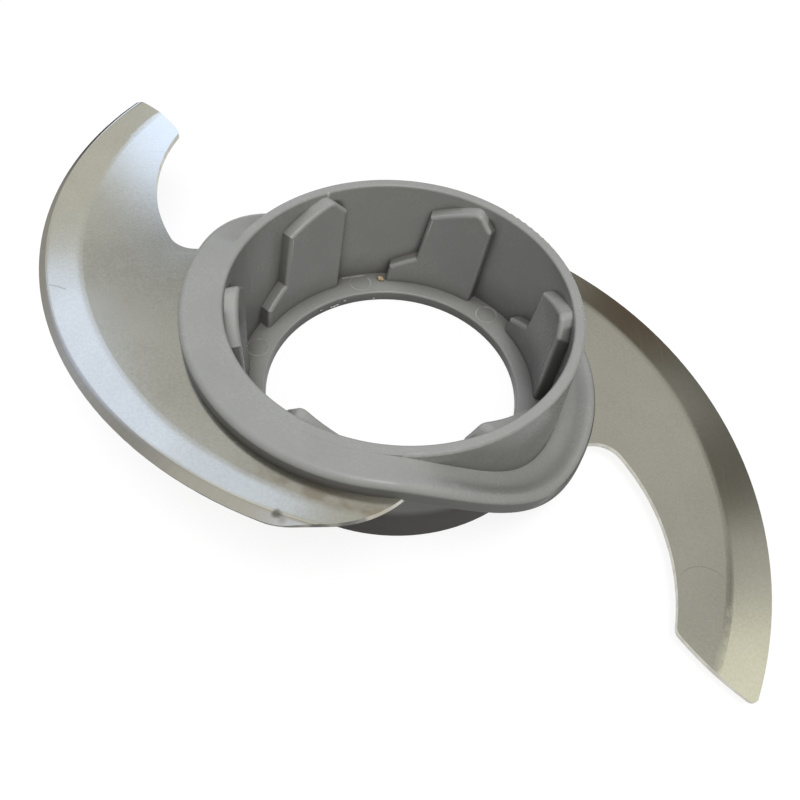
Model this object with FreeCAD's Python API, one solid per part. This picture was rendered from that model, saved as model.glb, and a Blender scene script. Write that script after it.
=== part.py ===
import FreeCAD, Part
import math
import os

# Food processor blade: a round moulded hub with two flat steel blades set in it.
# The upper and the lower blade have one outline, turned half round from each other.
# Millimetres. Z is the spin axis, and the hub stands on z = 0.
# The lower blade's tip points along +X.

V = FreeCAD.Vector
UP = V(0, 0, 1)

# Collar: an open ring with a ledge round its foot
hub_height = 26.7
collar_r = 33.0
collar_wall = 2.05
ledge_height = 2.55
ledge_width = 5.85
rim_round = 0.5
foot_round = 0.6
hole_round = 0.4
mark_r = 2.2
mark_depth = 0.12
mark_turn = 0.438
mark_shift = 0.42

# Lugs: six ribs inside the collar that the drive turns the part by
lug_count = 6
lug_azimuth = 5.8
lug_stand = 2.45
lug_sink = 0.4
lug_round = 0.7
lug_corner_round = 1.6
lug_foot_side = 12.0
lug_neck_side = 1.8
lug_shoulder_side = -18.9
lug_back_side = -25.3
lug_back_flare = 24.0
lug_foot_top = 6.75
lug_foot_inner = 9.75
lug_low_drop = 5.15
lug_high_drop = 0.6
lug_back_drop = 3.6
lug_lean_front = 9.5
lug_lean_back = 5.8
lug_lean_height = 12.9

# Flange: a shelf round the collar, high over one blade and low over the other
flange_high_reach = 5.6
flange_low_reach = 6.9
flange_step = 0.02
flange_low_top = 7.6
flange_root_depth = 1.0
flange_crest_round = 1.35
flange_under_round = 0.5
flange_seat_sink = 0.4
front_ramp_start = 312.0
front_ramp_span = 66.0
back_ramp_end = 211.0
back_ramp_span = 78.0
ramp_margin = 6.0
section_step = 6.0
scoop_depth = 1.0
scoop_growth = 2.0
foot_rise = 2.8
foot_growth = 4.0
slope_crest_lead = 1.3
slope_wall_lead = 0.6
slope_root_lead = 0.5

# Blades: stamped plates with a wide ground bevel along the outer edge
plate = 1.2
lower_top = 4.4
upper_drop = 4.15
blade_pitch = 1.4
pitch_azimuth = 110.0
root_depth = 1.2
outer_r = 73.2
inner_centre = (33.3, -19.6)
inner_r = 41.35
neck_r = 5.4
neck_azimuth = 78.5
neck_end_azimuth = 153.0
heel_centre = (-12.94, 34.27)
heel_azimuth = 117.0
heel_corner_r = 11.0
heel_flat_azimuth = 141.0
heel_flat = 5.5
heel_r = 17.4
heel_straight = 3.2
end_y = 1.0
end_bulge = 0.7
tip_round = 1.2
inner_tip_round = 1.8
bevel_width = 5.1
bevel_shift = (-1.9, -1.25)
bevel_angle = 5.0
bevel_blend_r = 16.0
hone_width = 2.1
hone_shift = (0.0, -0.95)
hone_angle = 16.5

# Radii and heights that follow from the sizes above
wall_r = collar_r - collar_wall
hole_r = wall_r - ledge_width
lug_r = wall_r - lug_stand
flange_high_r = collar_r + flange_high_reach
flange_low_r = collar_r + flange_low_reach
flange_root_r = collar_r - flange_root_depth
root_r = collar_r - root_depth
upper_top = hub_height - upper_drop


def on_circle(centre, radius, azimuth):
    turn = math.radians(azimuth)
    return V(centre[0] + radius * math.cos(turn), centre[1] + radius * math.sin(turn), 0)


def polar(radius, azimuth, height=0.0):
    point = on_circle((0, 0), radius, azimuth)
    return V(point.x, point.y, height)


def azimuth_from(centre, point):
    return math.degrees(math.atan2(point.y - centre[1], point.x - centre[0]))


def arc(start, middle, end):
    return Part.Arc(start, middle, end).toShape()


def line(start, end):
    return Part.makeLine(start, end)


def rounded_outline(corners, height=0.0):
    """Closed wire in the XZ plane from (r, z, rounding) corners."""
    points = [V(r, 0, z) for r, z, _ in corners]
    count = len(points)
    edges = []
    first = last = None
    for i, (r, z, rounding) in enumerate(corners):
        here = points[i]
        if rounding:
            back = (points[i - 1] - here).normalize()
            ahead = (points[(i + 1) % count] - here).normalize()
            half = back.getAngle(ahead) / 2
            reach = rounding / math.tan(half)
            start = here + back * reach
            end = here + ahead * reach
            inward = (back + ahead).normalize()
            middle = here + inward * (rounding / math.sin(half) - rounding)
        else:
            start = end = here
        if last is None:
            first = start
        else:
            edges.append(line(last, start))
        if rounding:
            edges.append(arc(start, middle, end))
        last = end
    edges.append(line(last, first))
    return Part.Wire(edges)


def revolve_sector(outline, start, span):
    face = Part.Face(outline)
    face.rotate(V(), UP, start)
    return face.revolve(V(), UP, span)


def make_collar():
    """Ring with a ledge; its rim is square only where the flange lies flush with it."""
    def outline(outer_round):
        return rounded_outline([
            (hole_r, 0, hole_round),
            (collar_r, 0, foot_round),
            (collar_r, hub_height, outer_round),
            (wall_r, hub_height, rim_round),
            (wall_r, ledge_height, 0),
            (hole_r, ledge_height, hole_round)])

    square_start = back_ramp_end - ramp_margin
    square_span = front_ramp_start + ramp_margin - square_start
    square = revolve_sector(outline(0), square_start, square_span)
    rounded = revolve_sector(outline(rim_round), square_start + square_span, 360 - square_span)
    collar = square.fuse(rounded)
    for k in range(lug_count):
        azimuth = lug_azimuth + (k + mark_turn) * 360 / lug_count
        spot = polar((hole_r + wall_r) / 2 + mark_shift, azimuth, ledge_height - mark_depth)
        collar = collar.cut(Part.makeCylinder(mark_r, ledge_height, spot))
    return collar.removeSplitter()


def back_trim():
    """Block behind a lug's back side, which leans and flares out toward the wall."""
    flare = math.radians(lug_back_flare)
    out = V(math.cos(flare), -math.sin(flare), 0) * collar_r
    up = V(0, -math.tan(math.radians(lug_lean_back)), 1) * hub_height
    edge = polar(lug_r, lug_back_side, lug_lean_height)
    corners = [edge - out - up, edge + out - up, edge + out + up, edge - out + up]
    return Part.Face(Part.makePolygon(corners + corners[:1])).extrude(V(0, -collar_r, 0))


def make_lug():
    """One stepped lug at azimuth 0: its outline is drawn as seen from the axis."""
    def corner(side, z, lean):
        across = lug_r * math.sin(math.radians(side))
        across -= math.tan(math.radians(lean)) * (z - lug_lean_height)
        return V(lug_r / 2, across, z)

    foot = ledge_height - lug_sink
    shoulder = corner(lug_shoulder_side, hub_height - lug_high_drop, lug_lean_back)
    back_top = corner(lug_back_side, hub_height - lug_back_drop, lug_lean_back)
    beyond = back_top + (back_top - shoulder)
    corners = [
        corner(lug_foot_side, foot, lug_lean_front),
        corner(lug_foot_side, lug_foot_top, lug_lean_front),
        corner(lug_neck_side, lug_foot_inner, lug_lean_front),
        corner(lug_neck_side, hub_height - lug_low_drop, lug_lean_front),
        shoulder,
        beyond,
        V(beyond.x, beyond.y, foot)]
    block = Part.Face(Part.makePolygon(corners + corners[:1])).extrude(V(lug_r, 0, 0))
    crown = V(lug_r, shoulder.y, shoulder.z)
    shoulder_edges = [e for e in block.Edges if (e.CenterOfMass - crown).Length < lug_round]
    block = block.makeFillet(lug_corner_round, shoulder_edges)
    lug = block.cut(Part.makeCylinder(lug_r, hub_height))
    lug = lug.common(Part.makeCylinder(wall_r + lug_sink, hub_height))
    lug = lug.cut(back_trim())
    proud = []
    for edge in lug.Edges:
        on_face = [abs(math.hypot(v.X, v.Y) - lug_r) < 0.01 for v in edge.Vertexes]
        middle = edge.CenterOfMass
        outlines_face = all(on_face) and middle.z > foot + 0.1
        at_back_top = middle.z > back_top.z - lug_round and middle.y < back_top.y + lug_round
        if outlines_face or (any(on_face) and at_back_top):
            proud.append(edge)
    return lug.makeFillet(lug_round, proud)


def descent(azimuth):
    """How far the flange has gone down: 0 on the high part, 1 on the low part."""
    past_front = (azimuth - front_ramp_start) % 360
    short_of_back = (back_ramp_end - azimuth) % 360
    if past_front + short_of_back > 360:
        return 0.0
    way = min(past_front / front_ramp_span, short_of_back / back_ramp_span, 1)
    return (1 - math.cos(math.pi * way)) / 2


def seat(azimuth, height, toward):
    """Height of a pitched blade's top under the flange."""
    slope = math.tan(math.radians(blade_pitch))
    return height + flange_high_r * slope * math.cos(math.radians(azimuth - toward))


def flange_section(azimuth):
    """Closed section of the flange: square root, round crest, scoop and foot rise."""
    down = descent(azimuth)
    high_top = hub_height - flange_step
    top = high_top + (flange_low_top - high_top) * down
    drop = high_top - top
    upper = seat(azimuth, upper_top, pitch_azimuth + 180)
    lower = seat(azimuth, lower_top, pitch_azimuth)
    under = upper + (lower - upper) * down - flange_seat_sink
    outer = flange_high_r + (flange_low_r - flange_high_r) * down
    scoop = scoop_depth * (1 - math.exp(-drop / scoop_growth))
    rise = foot_rise * (1 - math.exp(-drop / foot_growth))
    crest_r = outer - flange_crest_round
    root_r_mid = (crest_r + collar_r) / 2
    cut = math.sqrt(0.5)

    def at(radius, z):
        return V(radius, 0, z)

    low = flange_under_round
    crest = flange_crest_round
    inside_low = at(flange_root_r, under)
    under_end = at(outer - low, under)
    side_low = at(outer, under + low)
    side_high = at(outer, top - crest)
    crest_top = at(crest_r, top)
    inside_high = at(flange_root_r, top + rise)
    low_middle = at(outer - low + low * cut, under + low - low * cut)
    crest_middle = at(crest_r + crest * cut, top - crest + crest * cut)
    slope = Part.BezierCurve()
    slope.setPoles([
        crest_top,
        at(crest_r - slope_crest_lead, top),
        at(root_r_mid, top - 2 * scoop),
        at(collar_r + slope_wall_lead, top - scoop),
        at(flange_root_r + slope_root_lead, top),
        inside_high])
    wire = Part.Wire([
        line(inside_low, under_end),
        arc(under_end, low_middle, side_low),
        line(side_low, side_high),
        arc(side_high, crest_middle, crest_top),
        slope.toShape(),
        line(inside_high, inside_low)])
    wire.rotate(V(), UP, azimuth)
    return wire


def make_flange():
    """Two lofts, each half the way round, meeting on the flat high and low parts."""
    start = (front_ramp_start + back_ramp_end) / 2
    count = round(180 / section_step)
    halves = []
    for first in (start, start + 180):
        wires = [flange_section(first + i * section_step) for i in range(count + 1)]
        halves.append(Part.makeLoft(wires, True, False))
    return halves[0].fuse(halves[1])


def outer_circle():
    """Centre of the blade's outer edge, which runs into the heel's corner."""
    centre = on_circle(heel_centre, heel_corner_r - outer_r, heel_azimuth)
    return centre.x, centre.y


def blade_outline():
    """Outline in the XY plane: outer edge, heel, root, neck, inner edge and end."""
    outer_centre = outer_circle()
    outer_tip = V(outer_centre[0] + math.sqrt(outer_r ** 2 - (end_y - outer_centre[1]) ** 2), end_y, 0)
    inner_tip = V(inner_centre[0] + math.sqrt(inner_r ** 2 - (end_y - inner_centre[1]) ** 2), end_y, 0)
    end_middle = (outer_tip + inner_tip) * 0.5 - V(0, end_bulge, 0)

    heel_start = on_circle(heel_centre, heel_corner_r, heel_azimuth)
    corner_turn = (heel_azimuth + heel_flat_azimuth) / 2
    corner_middle = on_circle(heel_centre, heel_corner_r, corner_turn)
    flat_start = on_circle(heel_centre, heel_corner_r, heel_flat_azimuth)
    flat_end = flat_start + polar(heel_flat, heel_flat_azimuth + 90)
    hub_side = flat_end - polar(heel_r, heel_flat_azimuth)
    heel_low = hub_side - V(heel_r, 0, 0)
    heel_middle = hub_side + polar(heel_r, (heel_flat_azimuth + 180) / 2)
    heel_exit = heel_low - V(0, heel_straight, 0)
    outer_turn = (azimuth_from(outer_centre, outer_tip) + heel_azimuth) / 2
    outer_middle = on_circle(outer_centre, outer_r, outer_turn)
    heel_root_azimuth = azimuth_from((0, 0), heel_exit)
    root_start = polar(root_r, heel_root_azimuth)

    reach = inner_r - neck_r
    neck_centre = on_circle(inner_centre, reach, neck_azimuth)
    neck = (neck_centre.x, neck_centre.y)
    neck_start = on_circle(inner_centre, inner_r, neck_azimuth)
    neck_end = on_circle(neck, neck_r, neck_end_azimuth)
    neck_middle = on_circle(neck, neck_r, (neck_azimuth + neck_end_azimuth) / 2)
    heading = math.radians(neck_end_azimuth + 90)
    step = V(math.cos(heading), math.sin(heading), 0)
    along = neck_end.dot(step)
    run = -along - math.sqrt(along ** 2 - neck_end.Length ** 2 + root_r ** 2)
    root_end = neck_end + step * run
    root_azimuth = azimuth_from((0, 0), root_end)
    root_middle = polar(root_r, (heel_root_azimuth + root_azimuth) / 2)
    inner_middle = on_circle(inner_centre, inner_r,
                             (neck_azimuth + azimuth_from(inner_centre, inner_tip)) / 2)
    outline = Part.Wire([
        arc(outer_tip, outer_middle, heel_start),
        arc(heel_start, corner_middle, flat_start),
        line(flat_start, flat_end),
        arc(flat_end, heel_middle, heel_low),
        line(heel_low, heel_exit),
        line(heel_exit, root_start),
        arc(root_start, root_middle, root_end),
        line(root_end, neck_end),
        arc(neck_end, neck_middle, neck_start),
        arc(neck_start, inner_middle, inner_tip),
        arc(inner_tip, end_middle, outer_tip)])
    return outline, outer_tip, inner_tip


def dish(shift, flat_r, angle, start_height, blend_r):
    """Round solid whose top is flat out to flat_r, then falls away as a cone."""
    reach = 2 * outer_r
    depth = 3 * plate + start_height
    slope = math.tan(math.radians(angle))
    pull = blend_r * math.tan(math.radians(angle / 2))
    far = V(reach, 0, start_height - (reach - flat_r) * slope)
    foot = far.z - depth
    edges = []
    if blend_r:
        begin = V(flat_r - pull, 0, start_height)
        end = V(flat_r + pull * math.cos(math.radians(angle)), 0,
                start_height - pull * math.sin(math.radians(angle)))
        half = math.radians(angle / 2)
        middle = V(begin.x + blend_r * math.sin(half), 0,
                   start_height - blend_r * (1 - math.cos(half)))
        edges = [line(V(0, 0, start_height), begin), arc(begin, middle, end), line(end, far)]
    else:
        corner = V(flat_r, 0, start_height)
        edges = [line(V(0, 0, start_height), corner), line(corner, far)]
    edges += [line(far, V(reach, 0, foot)), line(V(reach, 0, foot), V(0, 0, foot)),
              line(V(0, 0, foot), V(0, 0, start_height))]
    solid = Part.Face(Part.Wire(edges)).revolve(V(), UP, 360)
    centre = outer_circle()
    solid.translate(V(centre[0] + shift[0], centre[1] + shift[1], 0))
    return solid


def make_plate(honed):
    """Blade lying flat with its top at z = 0, before it is pitched and set."""
    outline, outer_tip, inner_tip = blade_outline()
    base = Part.Face(outline)
    base.translate(V(0, 0, -plate))
    blank = base.extrude(V(0, 0, 2 * plate))
    for corner, radius in ((outer_tip, tip_round), (inner_tip, inner_tip_round)):
        uprights = [e for e in blank.Edges if (e.CenterOfMass - corner).Length < plate / 10]
        blank = blank.makeFillet(radius, uprights)
    bevel_r = outer_r - bevel_width
    plate_solid = blank.common(dish(bevel_shift, bevel_r, bevel_angle, 0, bevel_blend_r))
    if honed:
        flat_r = outer_r - hone_width - plate / math.tan(math.radians(hone_angle))
        plate_solid = plate_solid.common(dish(hone_shift, flat_r, hone_angle, plate, 0))
    return plate_solid


def set_blade(blade, height, half_turn):
    """Pitch the blade about its long axis, lift it and turn it to its side."""
    tilt_axis = on_circle((0, 0), 1, pitch_azimuth + 90)
    blade.rotate(V(), tilt_axis, -blade_pitch)
    blade.translate(V(0, 0, height))
    blade.rotate(V(), UP, half_turn)
    return blade


lower_blade = set_blade(make_plate(False), lower_top, 0)
upper_blade = set_blade(make_plate(True), upper_top, 180)

hub = make_collar().fuse(make_flange())
lug = make_lug()
for k in range(lug_count):
    turned = lug.copy()
    turned.rotate(V(), UP, lug_azimuth + k * 360 / lug_count)
    hub = hub.fuse(turned)
hub = hub.cut(lower_blade).cut(upper_blade)

os.makedirs("parts", exist_ok=True)
for name, shape in (("hub", hub), ("upper_blade", upper_blade), ("lower_blade", lower_blade)):
    solid = shape.Solids[0]
    box = solid.BoundBox
    print(name, "solids", len(shape.Solids), "valid", solid.isValid(),
          "volume", round(solid.Volume, 1), "faces", len(solid.Faces),
          "x", round(box.XMin, 2), round(box.XMax, 2),
          "y", round(box.YMin, 2), round(box.YMax, 2),
          "z", round(box.ZMin, 2), round(box.ZMax, 2))
    solid.exportStep("parts/" + name + ".step")
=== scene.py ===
# %% [markdown]
# # A food processor blade, dressed and lit
# This lesson takes a finished CAD model of a food processor blade and gives it the look that it has in a photograph.
# The hub is one grey plastic moulding, and two satin steel blades are set in it, half a turn apart. The CAD model is
# loaded first, because everything else is placed in its frame: metres, Z up along the spin axis, the hub standing on
# z = 0. Its shapes are right as they are, so the work here is the camera, the room, the light and the finishes.

# %% Load the CAD model
import bpy
import math
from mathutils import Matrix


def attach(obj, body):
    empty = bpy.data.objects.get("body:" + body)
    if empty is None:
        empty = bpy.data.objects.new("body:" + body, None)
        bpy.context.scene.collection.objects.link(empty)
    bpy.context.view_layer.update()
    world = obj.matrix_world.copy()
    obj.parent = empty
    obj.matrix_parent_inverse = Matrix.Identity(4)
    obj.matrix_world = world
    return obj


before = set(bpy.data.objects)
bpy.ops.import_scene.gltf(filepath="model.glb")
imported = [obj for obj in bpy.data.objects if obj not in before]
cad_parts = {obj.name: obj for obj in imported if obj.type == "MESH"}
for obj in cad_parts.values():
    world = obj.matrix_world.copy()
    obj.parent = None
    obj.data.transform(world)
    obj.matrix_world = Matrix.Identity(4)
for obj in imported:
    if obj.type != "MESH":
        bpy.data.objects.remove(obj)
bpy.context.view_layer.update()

from types import SimpleNamespace
from mathutils import Matrix, Vector

for name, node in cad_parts.items():
    print(name, len(node.data.polygons), "triangles, slots", [s.name for s in node.material_slots])

# %% [markdown]
# ## The camera
# The photograph was taken from close by, about 165 mm from the hub and 53 degrees above it, with the camera rolled
# a little. From so near, the left blade looks larger than the right one, so the distance matters as much as the
# angle. The place and the angles were measured from round things of known shape: the rim, the hole and the lugs.

# %% Camera
camera_place = Vector((0.06893, -0.07353, 0.13049))
view_azimuth, view_elevation, camera_roll = map(math.radians, (42.0, 52.93, 7.04))
image_size, focal_pixels, sensor_width = 800, 813.3, 36.0

away = Vector((math.sin(view_azimuth) * math.cos(view_elevation),
               -math.cos(view_azimuth) * math.cos(view_elevation),
               math.sin(view_elevation)))
level = Vector((math.cos(view_azimuth), math.sin(view_azimuth), 0))
right = math.cos(camera_roll) * level + math.sin(camera_roll) * away.cross(level)
camera_data = bpy.data.cameras.new("camera")
camera_data.sensor_width = sensor_width
camera_data.lens = sensor_width * focal_pixels / image_size
camera_data.clip_start = 0.005
camera = bpy.data.objects.new("camera", camera_data)
bpy.context.collection.objects.link(camera)
camera.matrix_world = Matrix((right, away.cross(right), away)).transposed().to_4x4()
camera.location = camera_place
bpy.context.scene.camera = camera
bpy.context.scene.view_settings.view_transform = "Standard"
print("lens", round(camera_data.lens, 2), "mm, distance", round(1000 * camera_place.length), "mm")

# %% [markdown]
# ## Short helpers for node trees
# The room and every finish below are node trees. A few helpers keep the recipes readable: one adds a node and feeds
# it, two do sums on numbers and on vectors, one mixes two values or colours by a mask, and one makes a soft step.

# %% Node helpers
def feed(tree, socket, value):
    """Link another socket to this one, or set a number, a vector or a colour on it."""
    if isinstance(value, bpy.types.NodeSocket):
        tree.links.new(value, socket)
    else:
        socket.default_value = (*value, 1) if socket.type == "RGBA" else value


def put(tree, kind, sockets=(), **settings):
    """Add a node, set its settings, and feed its inputs by name or number."""
    node = tree.nodes.new(kind)
    for setting, value in settings.items():
        setattr(node, setting, value)
    for label, value in dict(sockets).items():
        feed(tree, node.inputs[label], value)
    return node


def sums(tree, operation, *values, clamp=False):
    """One sum on numbers or sockets, as its output socket."""
    return put(tree, "ShaderNodeMath", enumerate(values), operation=operation, use_clamp=clamp).outputs[0]


def vectors(tree, operation, *values):
    """One sum on vectors, as its outputs: Vector, and Value for a length or a dot product."""
    return put(tree, "ShaderNodeVectorMath", enumerate(values), operation=operation).outputs


def split(tree, vector):
    """The X, Y and Z of a vector."""
    return put(tree, "ShaderNodeSeparateXYZ", {"Vector": vector}).outputs


def mixed(tree, mask, first, second, kind="RGBA"):
    """First where the mask is 0, second where it is 1."""
    start, end, result = {"FLOAT": (2, 3, 0), "RGBA": (6, 7, 2)}[kind]
    return put(tree, "ShaderNodeMix", {0: mask, start: first, end: second}, data_type=kind).outputs[result]


def ramp(tree, value, start, end, low=0.0, high=1.0):
    """Smooth change from low to high while value goes from start to end."""
    bounds = {"Value": value, "From Min": start, "From Max": end, "To Min": low, "To Max": high}
    return put(tree, "ShaderNodeMapRange", bounds, interpolation_type="SMOOTHSTEP").outputs["Result"]

# %% [markdown]
# ## The room that the steel mirrors
# Satin steel has hardly any colour of its own: what is seen on it is the room. On the left blade the bevel shows a
# bluish window and the tip its lower pane, the flats show a plain pale ceiling, and the right bevel shows a dark
# doorway and cupboard beside a lit wall. Behind the camera the room is dark apart from one lit wall, and that leaves
# the hollows of the hub dark too. Such a room could be built from panels, but panels stand in the way when the camera
# goes round. Here the world's own shader paints soft patches by their direction, each laid over the ones before it.
# An azimuth is counted from straight ahead of the camera toward the right, as one would point at things in the room.
# The camera itself sees plain white beyond the floor.

# %% The room
def room_direction(azimuth, elevation):
    """Unit vector toward a thing in the room, from two angles in degrees."""
    turn, rise = math.radians(azimuth), math.radians(elevation)
    ahead = Vector((-math.sin(view_azimuth), math.cos(view_azimuth), 0))
    flat = ahead * math.cos(turn) + level * math.sin(turn)
    return flat * math.cos(rise) + Vector((0, 0, math.sin(rise)))


lower_walls, ceiling, ceiling_edge = (0.06, 0.06, 0.058), (0.54, 0.54, 0.53), (0.58, 0.74)
dark_behind, behind_edge = (0.10, 0.10, 0.10), (-0.10, -0.45)

world = bpy.data.worlds.new("room")
bpy.context.scene.world = world
world.use_nodes = True
room = world.node_tree
direction = put(room, "ShaderNodeTexCoord").outputs["Generated"]
seen = mixed(room, ramp(room, split(room, direction)["Z"], *ceiling_edge), lower_walls, ceiling)
forward = vectors(room, "DOT_PRODUCT", direction, room_direction(0, 0))["Value"]
seen = mixed(room, ramp(room, forward, *behind_edge), seen, dark_behind)
print("ceiling begins", round(math.degrees(math.asin(ceiling_edge[0]))), "degrees up")

# %% Patches of light and dark in the room
room_patches = (
    # name, azimuth, elevation, half angle where it is full, half angle where it ends, colour
    ("pale wall on the left", -62, 30, 20, 30, (0.62, 0.61, 0.58)),
    ("pale wall under the window", -31, 28, 9, 15, (0.68, 0.68, 0.66)),
    ("lit ceiling on the left", -92, 72, 9, 19, (1.00, 0.98, 0.92)),
    ("skylight on the left", -102, 80, 3, 7, (1.45, 1.58, 1.85)),
    ("lit wall ahead", 10, 20, 10, 30, (0.30, 0.29, 0.27)),
    ("lit wall behind the camera", 165, 34, 14, 26, (1.45, 1.43, 1.36)),
    ("blind over the window", -33, 63, 5, 11, (0.90, 1.00, 1.26)),
    ("window", -48, 47, 10, 15, (1.05, 1.18, 1.54)),
    ("low pane of the window", -17, 31, 5, 8, (1.45, 1.70, 2.35)),
    ("dark doorway", 25, 36, 3, 7, (0.10, 0.070, 0.048)),
    ("dark cupboard beside it", 42, 46, 3, 7, (0.14, 0.135, 0.12)),
    ("lit wall on the right", 78, 54, 8, 16, (1.05, 1.05, 0.94)),
    ("dark top of the cupboard", 51, 55, 2, 5, (0.12, 0.115, 0.10)))

for _, azimuth, elevation, inner, outer, colour in room_patches:
    apart = vectors(room, "DISTANCE", direction, room_direction(azimuth, elevation))["Value"]
    inner_chord, outer_chord = (2 * math.sin(math.radians(angle) / 2) for angle in (inner, outer))
    seen = mixed(room, ramp(room, apart, outer_chord, inner_chord), seen, colour)
light_path = put(room, "ShaderNodeLightPath").outputs
shown = mixed(room, light_path["Is Camera Ray"], seen, (1, 1, 1))
room.links.new(shown, room.nodes["Background"].inputs["Color"])
print("room patches:", ", ".join(patch[0] for patch in room_patches))

# %% [markdown]
# ## One soft lamp
# The room alone lights the object evenly. The plastic in the photograph is lightest where it faces up, and the right
# side of the bore is darker than the left, so most of the light comes from above and from behind the camera. One
# round soft lamp hangs there. Seen in the blades it would burn a white spot into the steel, so it lights only the
# plastic, and the blades are left out of it by light linking.

# %% Lamp
def soft_lamp(name, azimuth, elevation, spread, radiance, distance=0.9):
    """Round lamp of a given half angle, as seen from the hub, and a given brightness."""
    radius = distance * math.tan(math.radians(spread))
    data = bpy.data.lights.new(name, "AREA")
    data.shape = "DISK"
    data.size = 2 * radius
    data.energy = radiance * math.pi * math.pi * radius ** 2
    lamp = bpy.data.objects.new(name, data)
    bpy.context.collection.objects.link(lamp)
    toward = room_direction(azimuth, elevation)
    lamp.location = toward * distance
    lamp.rotation_euler = toward.to_track_quat("Z", "Y").to_euler()
    print(name, "radius", round(radius, 3), "m, power", round(data.energy, 2), "W")
    return lamp


overhead_lamp = soft_lamp("overhead_lamp", azimuth=162, elevation=72, spread=14, radiance=9.8)
left_out = bpy.data.collections.new("left_out_of_lamp")
for name in ("upper_blade", "lower_blade"):
    left_out.objects.link(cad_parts[name])
for member in left_out.collection_objects:
    member.light_linking.link_state = "EXCLUDE"
overhead_lamp.light_linking.receiver_collection = left_out

# %% [markdown]
# ## The floor
# The photograph has a plain white ground. A white floor in strong light would throw much light up under the object,
# which is dark there. So the floor is nearly black for light that only bounces on it, and is lifted to white where
# the camera or a mirror looks at it. A weak shadow of the object stays on it.

# %% Floor
floor_size = 4.0
bounce_grey, watched_grey, watched_glow = (0.03, 0.03, 0.03), (0.15, 0.15, 0.15), (0.875, 0.875, 0.875)


def new_finish(name):
    """A material, its node tree and its shader."""
    finish = bpy.data.materials.new(name)
    finish.use_nodes = True
    return finish, finish.node_tree, finish.node_tree.nodes["Principled BSDF"]


bpy.ops.object.select_all(action="DESELECT")
bpy.ops.mesh.primitive_plane_add(size=floor_size, location=(0, 0, 0))
floor = bpy.context.object
floor.name = "floor"

floor_finish, tree, shader = new_finish("floor_white")
light_path = put(tree, "ShaderNodeLightPath").outputs
watched = sums(tree, "MAXIMUM", light_path["Is Camera Ray"], light_path["Is Glossy Ray"])
watched = sums(tree, "MAXIMUM", watched, light_path["Is Transmission Ray"])
tree.links.new(mixed(tree, watched, bounce_grey, watched_grey), shader.inputs["Base Color"])
tree.links.new(mixed(tree, watched, (0, 0, 0), watched_glow), shader.inputs["Emission Color"])
shader.inputs["Emission Strength"].default_value = 1.0
shader.inputs["Roughness"].default_value = 1.0
shader.inputs["Specular IOR Level"].default_value = 0.0
floor.data.materials.append(floor_finish)
print("floor", floor_size, "m wide")

# %% [markdown]
# ## Effects that the finishes share
# The materials need the same few effects: a fine grain with broad mottling, ragged spots for flecks and dark marks,
# thin hairlines, zones that begin at a circle, such as the bevel, a ring of equal circles, and short lines. Each is a
# node group with named inputs, built once. All of them read the object's own coordinates in metres, so a scale of 400
# means features of about 2.5 mm.

# %% Group helpers
def new_group(name, inputs, outputs):
    """An empty node group with named inputs and outputs."""
    group = bpy.data.node_groups.new(name, "ShaderNodeTree")
    for label, value in inputs.items():
        kind = "NodeSocketVector" if isinstance(value, tuple) else "NodeSocketFloat"
        group.interface.new_socket(name=label, in_out="INPUT", socket_type=kind).default_value = value
    for label in outputs:
        group.interface.new_socket(name=label, in_out="OUTPUT", socket_type="NodeSocketFloat")
    return group, group.nodes.new("NodeGroupInput").outputs, group.nodes.new("NodeGroupOutput").inputs


def use_group(tree, group, sockets):
    """Place a node group in a material and feed its inputs."""
    return put(tree, "ShaderNodeGroup", sockets, node_tree=group).outputs


def noise(tree, place, scale, detail):
    """Cloudy pattern, about 0.5 in the mean."""
    return put(tree, "ShaderNodeTexNoise", {"Vector": place, "Scale": scale, "Detail": detail}).outputs["Fac"]


def product(tree, first, *others):
    """First value times all the others."""
    for other in others:
        first = sums(tree, "MULTIPLY", first, other)
    return first


def hypotenuse(tree, first, second):
    """Long side of a right triangle with these two sides."""
    return sums(tree, "SQRT", sums(tree, "ADD", sums(tree, "POWER", first, 2.0), sums(tree, "POWER", second, 2.0)))

# %% Group: grain
grain, given, result = new_group(
    "grain", {"Vector": (0, 0, 0), "Broad Scale": 60.0, "Fine Scale": 2500.0, "Contrast": 0.1},
    ("Shade", "Height"))
fine_share = 0.6
broad = sums(grain, "SUBTRACT", noise(grain, given["Vector"], given["Broad Scale"], 4.0), 0.5)
fine = noise(grain, given["Vector"], given["Fine Scale"], 2.0)
fine_part = product(grain, sums(grain, "SUBTRACT", fine, 0.5), fine_share)
change = product(grain, sums(grain, "ADD", broad, fine_part), given["Contrast"])
grain.links.new(sums(grain, "ADD", change, 1.0), result["Shade"])
grain.links.new(fine, result["Height"])
print(grain.name, len(grain.nodes), "nodes")

# %% Group: ragged spot
spot, given, result = new_group(
    "ragged_spot", {"Vector": (0, 0, 0), "Middle": (0, 0, 0), "Radius": 0.001, "Raggedness": 0.6}, ("Mask",))
ripples_in_radius = 1.3
apart = vectors(spot, "DISTANCE", given["Vector"], given["Middle"])["Value"]
ripple = noise(spot, given["Vector"], sums(spot, "DIVIDE", ripples_in_radius, given["Radius"]), 3.0)
swing = product(spot, sums(spot, "SUBTRACT", ripple, 0.5), given["Raggedness"], 2.0)
reach = sums(spot, "ADD", sums(spot, "DIVIDE", apart, given["Radius"]), swing)
spot.links.new(ramp(spot, reach, 1.0, 0.25), result["Mask"])
print(spot.name, len(spot.nodes), "nodes")

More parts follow.
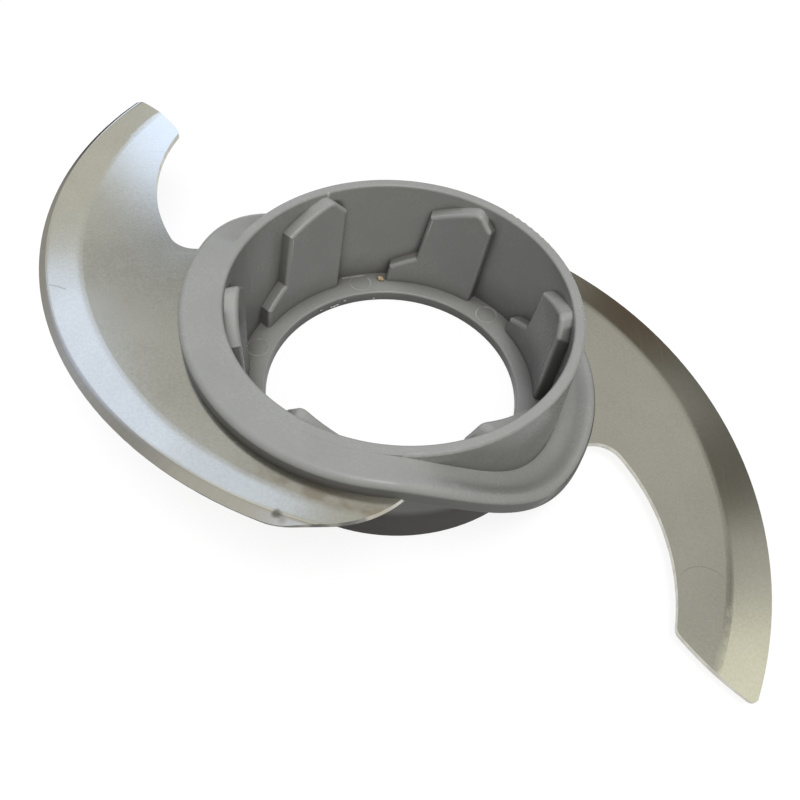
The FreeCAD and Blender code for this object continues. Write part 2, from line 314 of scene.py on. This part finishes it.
# %% Group: hairlines
hairlines, given, result = new_group(
    "hairlines", {"Vector": (0, 0, 0), "Turn": 0.0, "Scale": 300.0, "Share": 0.1}, ("Mask",))
thread_stretch = (0.035, 1.0, 0.3)
turned = put(hairlines, "ShaderNodeVectorRotate", {"Vector": given["Vector"], "Angle": given["Turn"]},
             rotation_type="Z_AXIS").outputs["Vector"]
stretched = vectors(hairlines, "MULTIPLY", turned, thread_stretch)["Vector"]
threads = noise(hairlines, stretched, given["Scale"], 2.0)
bound = sums(hairlines, "SUBTRACT", 0.76, given["Share"])
hairlines.links.new(ramp(hairlines, threads, bound, sums(hairlines, "ADD", bound, 0.05)), result["Mask"])
print(hairlines.name, len(hairlines.nodes), "nodes")

# %% Group: zone beyond a circle
zone, given, result = new_group(
    "zone_beyond_circle", {"Vector": (0, 0, 0), "Middle": (0, 0, 0), "Radius": 0.05, "Softness": 0.001},
    ("Beyond", "Around", "Out"))
local = split(zone, vectors(zone, "SUBTRACT", given["Vector"], given["Middle"])["Vector"])
out = sums(zone, "SUBTRACT", hypotenuse(zone, local["X"], local["Y"]), given["Radius"])
around = product(zone, sums(zone, "ARCTAN2", local["Y"], local["X"]), given["Radius"])
half = product(zone, given["Softness"], 0.5)
zone.links.new(ramp(zone, out, product(zone, half, -1.0), half), result["Beyond"])
zone.links.new(around, result["Around"])
zone.links.new(out, result["Out"])
print(zone.name, len(zone.nodes), "nodes")

# %% Group: ring of equal circles
circles, given, result = new_group(
    "ring_of_circles",
    {"Vector": (0, 0, 0), "Count": 6.0, "First Turn": 0.5, "Reach": 0.028, "Radius": 0.002, "Line": 0.0002},
    ("Outline",))
local = split(circles, given["Vector"])
turn = sums(circles, "SUBTRACT", sums(circles, "ARCTAN2", local["Y"], local["X"]), given["First Turn"])
share = sums(circles, "DIVIDE", 2 * math.pi, given["Count"])
folded = sums(circles, "WRAP", turn, product(circles, share, 0.5), product(circles, share, -0.5))
from_axis = hypotenuse(circles, local["X"], local["Y"])
aside = product(circles, from_axis, sums(circles, "SINE", folded))
along = sums(circles, "SUBTRACT", product(circles, from_axis, sums(circles, "COSINE", folded)), given["Reach"])
off_line = sums(circles, "SUBTRACT", hypotenuse(circles, aside, along), given["Radius"])
off_line = sums(circles, "ABSOLUTE", off_line)
circles.links.new(ramp(circles, off_line, given["Line"], 0.0), result["Outline"])
print(circles.name, len(circles.nodes), "nodes")

# %% Group: short line
line, given, result = new_group(
    "short_line",
    {"Vector": (0, 0, 0), "Start": (0, 0, 0), "Heading": (1, 0, 0), "Length": 0.003, "Width": 0.0002},
    ("Mask",))
fade_in, fade_out = 0.0003, 0.0004
offset = vectors(line, "SUBTRACT", given["Vector"], given["Start"])["Vector"]
offset = vectors(line, "MULTIPLY", offset, (1, 1, 0))["Vector"]
forward = vectors(line, "DOT_PRODUCT", offset, given["Heading"])["Value"]
distance = vectors(line, "LENGTH", offset)["Value"]
square = sums(line, "SUBTRACT", sums(line, "POWER", distance, 2.0), sums(line, "POWER", forward, 2.0))
sideways = sums(line, "SQRT", sums(line, "MAXIMUM", square, 0.0))
short_of_end = sums(line, "SUBTRACT", given["Length"], forward)
inside = product(line, ramp(line, forward, 0.0, fade_in), ramp(line, short_of_end, 0.0, fade_out))
line.links.new(product(line, inside, ramp(line, sideways, given["Width"], 0.0)), result["Mask"])
print(line.name, len(line.nodes), "nodes")

# %% [markdown]
# ## Grey plastic of the hub
# The hub is moulded in a mid grey plastic with a soft gloss. A single grey looks like computer plastic, so the colour
# mottles slightly, the gloss varies from place to place, and a fine moulding texture breaks the highlights. Shade is
# painted into the colour: the corners, the flange's sides and the foot are darkened to a brown-grey, and are made
# duller there. An ambient occlusion node finds the corners, because it measures how closed in a point is, and the
# height and the tilt of the surface find the foot and the flange's sides. The pins that push the part out of its
# mould have left six shallow rounds on the ledge, and their thin raised outline gets a painted highlight, a pale
# ring broken into arcs. A thin pale line of painted highlight runs at the foot of the wall, and two small painted
# highlights sit as pale flecks on corners of the lugs.

# %% Hub plastic
def mottle(tree, place, broad_scale, fine_scale, contrast):
    """Grain as a blend from 0 to 1, and as a height for relief."""
    skin = use_group(tree, grain, {"Vector": place, "Broad Scale": broad_scale, "Fine Scale": fine_scale,
                                   "Contrast": contrast})
    return sums(tree, "SUBTRACT", skin["Shade"], 0.5, clamp=True), skin["Height"]


# The palest grey is used only for painted highlights: the ejector outlines, the line at the wall's foot and the
# flecks on the lugs.
plastic_grey_dark, plastic_grey, pale_highlight = (0.306, 0.309, 0.296), (0.350, 0.353, 0.338), (0.62, 0.62, 0.60)
plastic_rough = 0.22, 0.30

plastic, tree, shader = new_finish("hub_plastic_look")
place = put(tree, "ShaderNodeTexCoord").outputs["Object"]
blend, moulding_texture = mottle(tree, place, broad_scale=110.0, fine_scale=2200.0, contrast=1.6)
colour = mixed(tree, blend, plastic_grey_dark, plastic_grey)
rough = mixed(tree, blend, *plastic_rough, "FLOAT")
print("plastic roughness", plastic_rough)

# %% Painted shade in corners, on the flange's sides and at the foot
def lay(tree, below, mask, strength, above, kind="RGBA"):
    """Lay a colour or value over another one where the mask is, at a given strength."""
    return mixed(tree, product(tree, mask, strength), below, above, kind)


def facing_up(tree):
    """How far the surface faces up: 1 for level, 0 for upright, -1 for an underside."""
    return split(tree, put(tree, "ShaderNodeNewGeometry").outputs["Normal"])["Z"]


# Painted shade: a dark brown-grey laid into the plastic's colour in corners, on the flange's sides and at the foot,
# which are also made duller.
shade_tint, shade_rough = (0.046, 0.041, 0.037), 0.50
corner_reach, rim_clear = 0.009, (0.0248, 0.0240)
foot_radius, foot_heights = 0.0322, (0.0105, 0.0070)
flange_radius, flange_heights = 0.0360, (0.0075, 0.0105)

height, facing = split(tree, place)["Z"], facing_up(tree)
openness = put(tree, "ShaderNodeAmbientOcclusion", {"Distance": corner_reach}, samples=8).outputs["AO"]
corners = product(tree, ramp(tree, openness, 0.80, 0.35), ramp(tree, height, *rim_clear))
foot = product(tree, use_group(tree, zone, {"Vector": place, "Radius": foot_radius})["Beyond"],
               ramp(tree, height, *foot_heights), ramp(tree, facing, 0.80, 0.35))
under_rim = product(tree, use_group(tree, zone, {"Vector": place, "Radius": flange_radius})["Beyond"],
                    ramp(tree, height, *flange_heights), ramp(tree, facing, 0.45, 0.10))
# Darken the colour there towards the brown-grey: painted shade.
for mask, strength in ((corners, 0.72), (foot, 0.85), (under_rim, 0.45)):
    colour = lay(tree, colour, mask, strength, shade_tint)
shaded_zones = sums(tree, "MAXIMUM", sums(tree, "MAXIMUM", foot, under_rim), corners)
rough = mixed(tree, shaded_zones, rough, shade_rough, "FLOAT")
print("painted_shade within", round(1000 * corner_reach), "mm of corners, and below", round(1000 * foot_heights[0], 1), "mm")

# %% Outlines of the ejector pins on the ledge, with a painted highlight
ledge_top, ledge_band = 0.00255, (0.0003, 0.0002)
pin_count, pin_turn, pin_reach, pin_radius, pin_line = 6, math.radians(32.1), 0.02845, 0.0022, 0.00022

off_ledge = sums(tree, "ABSOLUTE", sums(tree, "SUBTRACT", height, ledge_top))
on_ledge = ramp(tree, off_ledge, *ledge_band)
pins = use_group(tree, circles, {"Vector": place, "Count": float(pin_count), "First Turn": pin_turn,
                                 "Reach": pin_reach, "Radius": pin_radius, "Line": pin_line})
broken = ramp(tree, noise(tree, place, 260.0, 1.0), 0.35, 0.60, 0.15, 0.65)
outline = product(tree, pins["Outline"], on_ledge, broken)
# Painted highlight: the outline is coloured pale, in arcs broken by the noise.
colour = mixed(tree, outline, colour, pale_highlight)
print("ejector marks every", round(360 / pin_count), "degrees,", round(2000 * pin_radius, 1), "mm across")

# %% Painted highlight at the foot of the wall
def stroke(tree, place, start, end, width, overlap=0.0):
    """Mask of a straight line from start to end, made longer at both ends by the overlap."""
    heading = (end - start).normalized()
    return use_group(tree, line, {"Vector": place, "Start": start - heading * overlap, "Heading": heading,
                                  "Length": (end - start).length + 2 * overlap, "Width": width})["Mask"]


# Painted highlight: a thin pale line along the corner of the ledge and the wall, broken by the same noise as the
# ejector outlines.
foot_highlight_start, foot_highlight_end, foot_highlight_width = Vector((-0.02861, 0.01084, 0)), Vector((-0.02625, 0.01573, 0)), 0.00017
foot_highlight = stroke(tree, place, foot_highlight_start, foot_highlight_end, foot_highlight_width)
foot_highlight = product(tree, foot_highlight, on_ledge, sums(tree, "ADD", broken, 0.25))
colour = mixed(tree, foot_highlight, colour, pale_highlight)
print("painted highlight line", round(1000 * (foot_highlight_end - foot_highlight_start).length, 1), "mm long")

# %% Painted highlights on the lugs, and the plastic's shader
def close_finish(tree, shader, colour, rough, height, strength, distance):
    """Link the finished colour, roughness and relief to the shader."""
    tree.links.new(colour, shader.inputs["Base Color"])
    tree.links.new(rough, shader.inputs["Roughness"])
    bump = put(tree, "ShaderNodeBump", {"Height": height, "Strength": strength, "Distance": distance})
    tree.links.new(bump.outputs["Normal"], shader.inputs["Normal"])


# Painted highlights: two small pale flecks on the top corners of two lugs.
lug_highlight_middles, lug_highlight_radius = ((-0.0298, 0.0080, 0.0261), (-0.0076, 0.0293, 0.0261)), 0.0006
for middle in lug_highlight_middles:
    lug_highlight = use_group(tree, spot, {"Vector": place, "Middle": middle, "Radius": lug_highlight_radius, "Raggedness": 0.9})
    colour = lay(tree, colour, lug_highlight["Mask"], 0.8, pale_highlight)
shader.inputs["Specular IOR Level"].default_value = 0.20
relief = sums(tree, "ADD", moulding_texture, product(tree, outline, 2.0))
close_finish(tree, shader, colour, rough, relief, strength=0.02, distance=0.0003)
print(len(lug_highlight_middles), "pale flecks, hub plastic has", len(tree.nodes), "nodes")

# %% [markdown]
# ## Satin steel of the blades
# Each blade is stamped from stainless plate with a satin surface. Along the outer edge a wide bevel is ground, and on
# the upper blade a narrow honed facet follows at the very edge. The three surfaces lie at different angles, which the
# CAD model has, so they already catch different parts of the room. Here each gets its own finish: the flat is finely
# speckled, the bevel is smoother, and the honed facet is darker. The cut sides of the plate are rough: those at the
# hub and round the tip were sheared clean and stay pale, and those along the upper blade's edge are painted dark as
# shade.
# The zones are found from the bevel's circle and from the tilt of the surface. Use has worn the crease between bevel
# and facet round, so a little relief bends the light across it. The blades are alike but for half a turn, so one
# function makes the steel of both, and it hands back the sockets that marks are laid over.

# %% Colours and circles of the steel
steel_dark, steel_light, steel_rough = (0.570, 0.555, 0.467), (0.665, 0.650, 0.553), (0.15, 0.18)
honed_dark, honed_light, honed_rough = (0.350, 0.340, 0.308), (0.430, 0.418, 0.378), 0.17
# The darkest steel colours are painted shade, laid on the cut sides along the upper blade's edge.
cut_shade_dark, cut_shade_light, cut_rough = (0.130, 0.122, 0.112), (0.300, 0.285, 0.255), 0.40
sheared_dark, sheared_light = (0.520, 0.505, 0.450), (0.640, 0.630, 0.570)
bevel_middle, bevel_radius, bevel_softness, bevel_rough = Vector((0.0134, -0.0224, 0)), 0.0681, 0.0008, 0.15
crease_middle, crease_radius = Vector((0.01586, -0.02201, 0)), 0.07225
crease_worn, crease_depth = 0.0007, 0.000035
grain_depth = 0.000002
print("bevel begins at", round(1000 * bevel_radius, 1), "mm, facet at", round(1000 * crease_radius, 2), "mm")

# %% Steel of one blade
def honed_facet(steel, side):
    """Darker streaked finish on the honed facet, and relief for its worn crease."""
    tree = steel.tree
    facet = product(tree, ramp(tree, steel.facing, 0.985, 0.975), ramp(tree, steel.facing, 0.80, 0.90))
    crease = use_group(tree, zone, {"Vector": steel.place, "Middle": crease_middle * side, "Radius": crease_radius})
    along = {"X": crease["Around"], "Y": product(tree, crease["Out"], 0.1)}
    streaks = noise(tree, put(tree, "ShaderNodeCombineXYZ", along).outputs["Vector"], 900.0, 3.0)
    steel.colour = mixed(tree, facet, steel.colour, mixed(tree, streaks, honed_dark, honed_light))
    steel.rough = mixed(tree, facet, steel.rough, honed_rough, "FLOAT")
    off_crease = sums(tree, "DIVIDE", sums(tree, "ABSOLUTE", crease["Out"]), crease_worn)
    near = sums(tree, "SUBTRACT", 1.0, off_crease, clamp=True)
    worn = product(tree, sums(tree, "POWER", near, 2.0), crease_depth)
    steel.height = sums(tree, "SUBTRACT", steel.height, worn)


def steel_finish(name, side, honed):
    """Steel of one blade before its marks: side is 1 for the lower blade and -1 half a turn on."""
    finish, tree, shader = new_finish(name)
    shader.inputs["Metallic"].default_value = 1.0
    place, facing = put(tree, "ShaderNodeTexCoord").outputs["Object"], facing_up(tree)
    blend, satin = mottle(tree, place, broad_scale=45.0, fine_scale=2200.0, contrast=2.2)
    bevel = use_group(tree, zone, {"Vector": place, "Middle": bevel_middle * side, "Radius": bevel_radius,
                                   "Softness": bevel_softness})
    rough = mixed(tree, bevel["Beyond"], mixed(tree, blend, *steel_rough, "FLOAT"), bevel_rough, "FLOAT")
    steel = SimpleNamespace(finish=finish, tree=tree, shader=shader, place=place, facing=facing,
                            colour=mixed(tree, blend, steel_dark, steel_light), rough=rough,
                            height=product(tree, satin, grain_depth), past_bevel=bevel["Out"])
    if honed:
        honed_facet(steel, side)
    cut_side = ramp(tree, sums(tree, "ABSOLUTE", facing), 0.80, 0.60)
    patchy = ramp(tree, noise(tree, place, 500.0, 4.0), 0.35, 0.65)
    cut = mixed(tree, patchy, sheared_dark, sheared_light)
    # Along the upper blade's edge the cut sides are painted dark: painted shade.
    if honed:
        cut = mixed(tree, bevel["Beyond"], cut, mixed(tree, patchy, cut_shade_dark, cut_shade_light))
    steel.colour = mixed(tree, cut_side, steel.colour, cut)
    steel.rough = mixed(tree, cut_side, steel.rough, cut_rough, "FLOAT")
    return steel

# %% [markdown]
# ## Marks on the upper blade
# The upper blade has been used. A soft brown water stain runs between bevel and hub near the heel, with a small dark
# spot on the bevel beside it, and a short curved scratch crosses the bevel. Stains make steel browner and duller, so
# one mask drives both colour and roughness. The scratch is made of two straight lines that run into each other.

# %% Stain on the upper blade
upper = steel_finish("upper_steel_look", side=-1, honed=True)
tree, place = upper.tree, upper.place
stain_tint, stain_rough, stain_strength = (0.43, 0.385, 0.29), 0.35, 0.90

where = split(tree, place)
strip = product(tree, ramp(tree, upper.past_bevel, -0.0048, -0.0018), ramp(tree, upper.past_bevel, 0.0006, -0.0010),
                ramp(tree, where["X"], 0.005, 0.016), ramp(tree, where["Y"], -0.024, -0.032))
stain = product(tree, strip, ramp(tree, noise(tree, place, 330.0, 2.0), 0.36, 0.62, 0.25, 1.0))
upper.colour = lay(tree, upper.colour, stain, stain_strength, stain_tint)
upper.rough = lay(tree, upper.rough, stain, 0.4, stain_rough, "FLOAT")
print("stain strength", stain_strength)

# %% Dark spot on the upper blade
spot_tint, spot_rough = (0.10, 0.09, 0.07), 0.4
dark_spots = (((0.0187, -0.0417, 0.0234), 0.0011, 0.7), ((0.0200, -0.0416, 0.0234), 0.0009, 0.25))
for middle, radius, strength in dark_spots:
    dark = use_group(tree, spot, {"Vector": place, "Middle": middle, "Radius": radius, "Raggedness": 0.4})["Mask"]
    upper.colour = lay(tree, upper.colour, dark, strength, spot_tint)
    upper.rough = lay(tree, upper.rough, dark, strength, spot_rough, "FLOAT")
print("dark spot", round(2000 * dark_spots[0][1], 1), "mm across")

# %% Scratch and hairlines on the upper blade
def add_hairlines(steel, turn):
    """Fine scratches that all run one way and leave the steel a little rougher."""
    hair = use_group(steel.tree, hairlines, {"Vector": steel.place, "Turn": turn, "Scale": 1600.0, "Share": 0.12})
    steel.rough = lay(steel.tree, steel.rough, hair["Mask"], 0.2, 0.30, "FLOAT")


scratch_points = Vector((-0.04400, -0.04425, 0)), Vector((-0.04282, -0.04346, 0)), Vector((-0.04118, -0.04272, 0))
scratch_width, scratch_overlap, scratch_tint = 0.00028, 0.0003, (0.24, 0.23, 0.21)
stretches = [stroke(tree, place, start, end, scratch_width, scratch_overlap)
             for start, end in zip(scratch_points, scratch_points[1:])]
upper.colour = lay(tree, upper.colour, sums(tree, "MAXIMUM", *stretches), 0.45, scratch_tint)
add_hairlines(upper, -0.9)
close_finish(tree, upper.shader, upper.colour, upper.rough, upper.height, strength=1.0, distance=1.0)
print("scratch", round(1000 * (scratch_points[-1] - scratch_points[0]).length, 1), "mm long")

# %% [markdown]
# ## Marks on the lower blade
# The lower blade has no honed facet. Near its tip a press tool has left a faint quarter ring.

# %% Lower blade
lower = steel_finish("lower_steel_look", side=1, honed=False)
tree, place = lower.tree, lower.place
ring_middle, ring_radius, ring_width, ring_tint = (0.0684, 0.0103, 0.0), 0.0048, 0.00022, (0.40, 0.38, 0.34)

off_ring = use_group(tree, zone, {"Vector": place, "Middle": ring_middle, "Radius": ring_radius})["Out"]
thin = ramp(tree, sums(tree, "ABSOLUTE", off_ring), ring_width, ring_width * 0.2)
where = split(tree, place)
press_mark = product(tree, thin, ramp(tree, where["X"], 0.0700, 0.0670), ramp(tree, where["Y"], 0.0090, 0.0110))
lower.colour = lay(tree, lower.colour, press_mark, 0.35, ring_tint)
add_hairlines(lower, 0.8)
close_finish(tree, lower.shader, lower.colour, lower.rough, lower.height, strength=1.0, distance=1.0)
print("press mark", round(2000 * ring_radius, 1), "mm across")

# %% [markdown]
# ## A crumb of food
# A dried crumb of food sticks on the ledge beside a lug. It starts as a ball of few faces, is pressed flat, roughened
# vertex by vertex, cut off below where it sits, and smoothed. It rides on the hub and is built in place, so that its
# object stays at the origin.

# %% Crumb of food
def start_mesh_edit():
    """Edit mode with the whole new mesh selected."""
    bpy.ops.object.mode_set(mode="EDIT")
    bpy.ops.mesh.select_all(action="SELECT")


crumb_place, crumb_radius, crumb_squash = Vector((-0.0232, 0.0174, 0.00255)), 0.00078, (1.10, 0.90, 0.80)
crumb_cut, crumb_lift = -0.00025, 0.00023

bpy.ops.object.select_all(action="DESELECT")
bpy.ops.mesh.primitive_ico_sphere_add(subdivisions=2, radius=crumb_radius, location=(0, 0, 0))
crumb = bpy.context.object
crumb.name = "food_crumb"
start_mesh_edit()
bpy.ops.transform.resize(value=crumb_squash)
bpy.ops.transform.vertex_random(offset=0.00018, uniform=0.6, normal=0.4, seed=7)
bpy.ops.mesh.select_all(action="SELECT")
bpy.ops.mesh.bisect(plane_co=(0, 0, crumb_cut), plane_no=(0, 0, 1), use_fill=True, clear_inner=True)
bpy.ops.mesh.select_all(action="SELECT")
bpy.ops.transform.translate(value=crumb_place + Vector((0, 0, crumb_lift)))
bpy.ops.object.mode_set(mode="OBJECT")
smooth = crumb.modifiers.new("smooth", "SUBSURF")
smooth.levels = smooth.render_levels = 1
bpy.ops.object.modifier_apply(modifier="smooth")
bpy.ops.object.shade_smooth()
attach(crumb, "root")
print("crumb", len(crumb.data.polygons), "faces")

# %% Finish of the crumb
crumb_brown, crumb_pale, crumb_rough = (0.33, 0.21, 0.09), (0.66, 0.56, 0.33), (0.75, 0.55)
crumb_finish, tree, shader = new_finish("crumb_look")
place = put(tree, "ShaderNodeTexCoord").outputs["Object"]
blend, crust = mottle(tree, place, broad_scale=1500.0, fine_scale=6000.0, contrast=3.0)
close_finish(tree, shader, mixed(tree, blend, crumb_brown, crumb_pale), mixed(tree, blend, *crumb_rough, "FLOAT"),
             crust, strength=0.5, distance=0.0001)
crumb.data.materials.append(crumb_finish)
print("crumb wears", crumb_finish.name)

# %% [markdown]
# ## Four slivers of flash
# Where the mould closed round the hole, it left a few slivers of thin plastic, called flash. They could be painted,
# but they stand off the hole's wall and catch the light from other sides than the wall does. So each starts as a
# strip, is cut into short lengths, crumpled, turned to stand at the wall, and given a thickness.

# %% Finish of the flash, with painted light
# Painted light: the slivers are coloured near white, far paler than the hub's grey plastic, so that they look
# brightly lit.
flash_lit_grey, flash_lit_white, flash_rough = (0.72, 0.72, 0.69), (0.92, 0.92, 0.90), (0.30, 0.45)
flash_lit_finish, tree, shader = new_finish("flash_painted_light_look")
place = put(tree, "ShaderNodeTexCoord").outputs["Object"]
blend, skin = mottle(tree, place, broad_scale=900.0, fine_scale=5000.0, contrast=1.5)
close_finish(tree, shader, mixed(tree, blend, flash_lit_grey, flash_lit_white), mixed(tree, blend, *flash_rough, "FLOAT"),
             skin, strength=0.3, distance=0.0001)
print("flash_painted_light_look has", len(tree.nodes), "nodes")

# %% Slivers of flash
hole_radius, flash_width, flash_thick, flash_crumple, flash_lean = 0.0249, 0.00045, 0.00006, 0.00010, 70
slivers = (
    # name, azimuth, height, length, seed
    ("flash_long", 167.8, 0.00105, 0.00190, 3),
    ("flash_short", 175.8, 0.00145, 0.00042, 5),
    ("flash_middle", 162.3, 0.00165, 0.00055, 8),
    ("flash_far", 147.0, 0.00095, 0.00030, 11))
for name, azimuth, height, length, seed in slivers:
    bpy.ops.object.select_all(action="DESELECT")
    bpy.ops.mesh.primitive_plane_add(size=1, location=(0, 0, 0))
    sliver = bpy.context.object
    sliver.name = name
    start_mesh_edit()
    bpy.ops.transform.resize(value=(length, flash_width, 1))
    bpy.ops.mesh.subdivide(number_cuts=4)
    bpy.ops.transform.vertex_random(offset=flash_crumple, uniform=1.0, normal=0.0, seed=seed)
    bpy.ops.mesh.select_all(action="SELECT")
    turn = math.radians(azimuth)
    bpy.ops.transform.rotate(value=math.radians(flash_lean), orient_axis="X", center_override=(0, 0, 0))
    bpy.ops.transform.rotate(value=math.radians(90) - turn, orient_axis="Z", center_override=(0, 0, 0))
    bpy.ops.transform.translate(value=(hole_radius * math.cos(turn), hole_radius * math.sin(turn), height))
    bpy.ops.object.mode_set(mode="OBJECT")
    solid = sliver.modifiers.new("thickness", "SOLIDIFY")
    solid.thickness = flash_thick
    bpy.ops.object.modifier_apply(modifier="thickness")
    sliver.data.materials.append(flash_lit_finish)
    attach(sliver, "root")
    print(name, len(sliver.data.polygons), "faces,", round(1000 * length, 2), "mm long")

# %% [markdown]
# ## Finishes on the CAD pieces
# The pieces of the CAD model keep their shapes and places. Only the materials in their slots are changed.

# %% Put the finishes on the CAD pieces
for name, finish in (("hub", plastic), ("upper_blade", upper.finish), ("lower_blade", lower.finish)):
    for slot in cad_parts[name].material_slots:
        slot.material = finish
    print(name, "wears", finish.name)
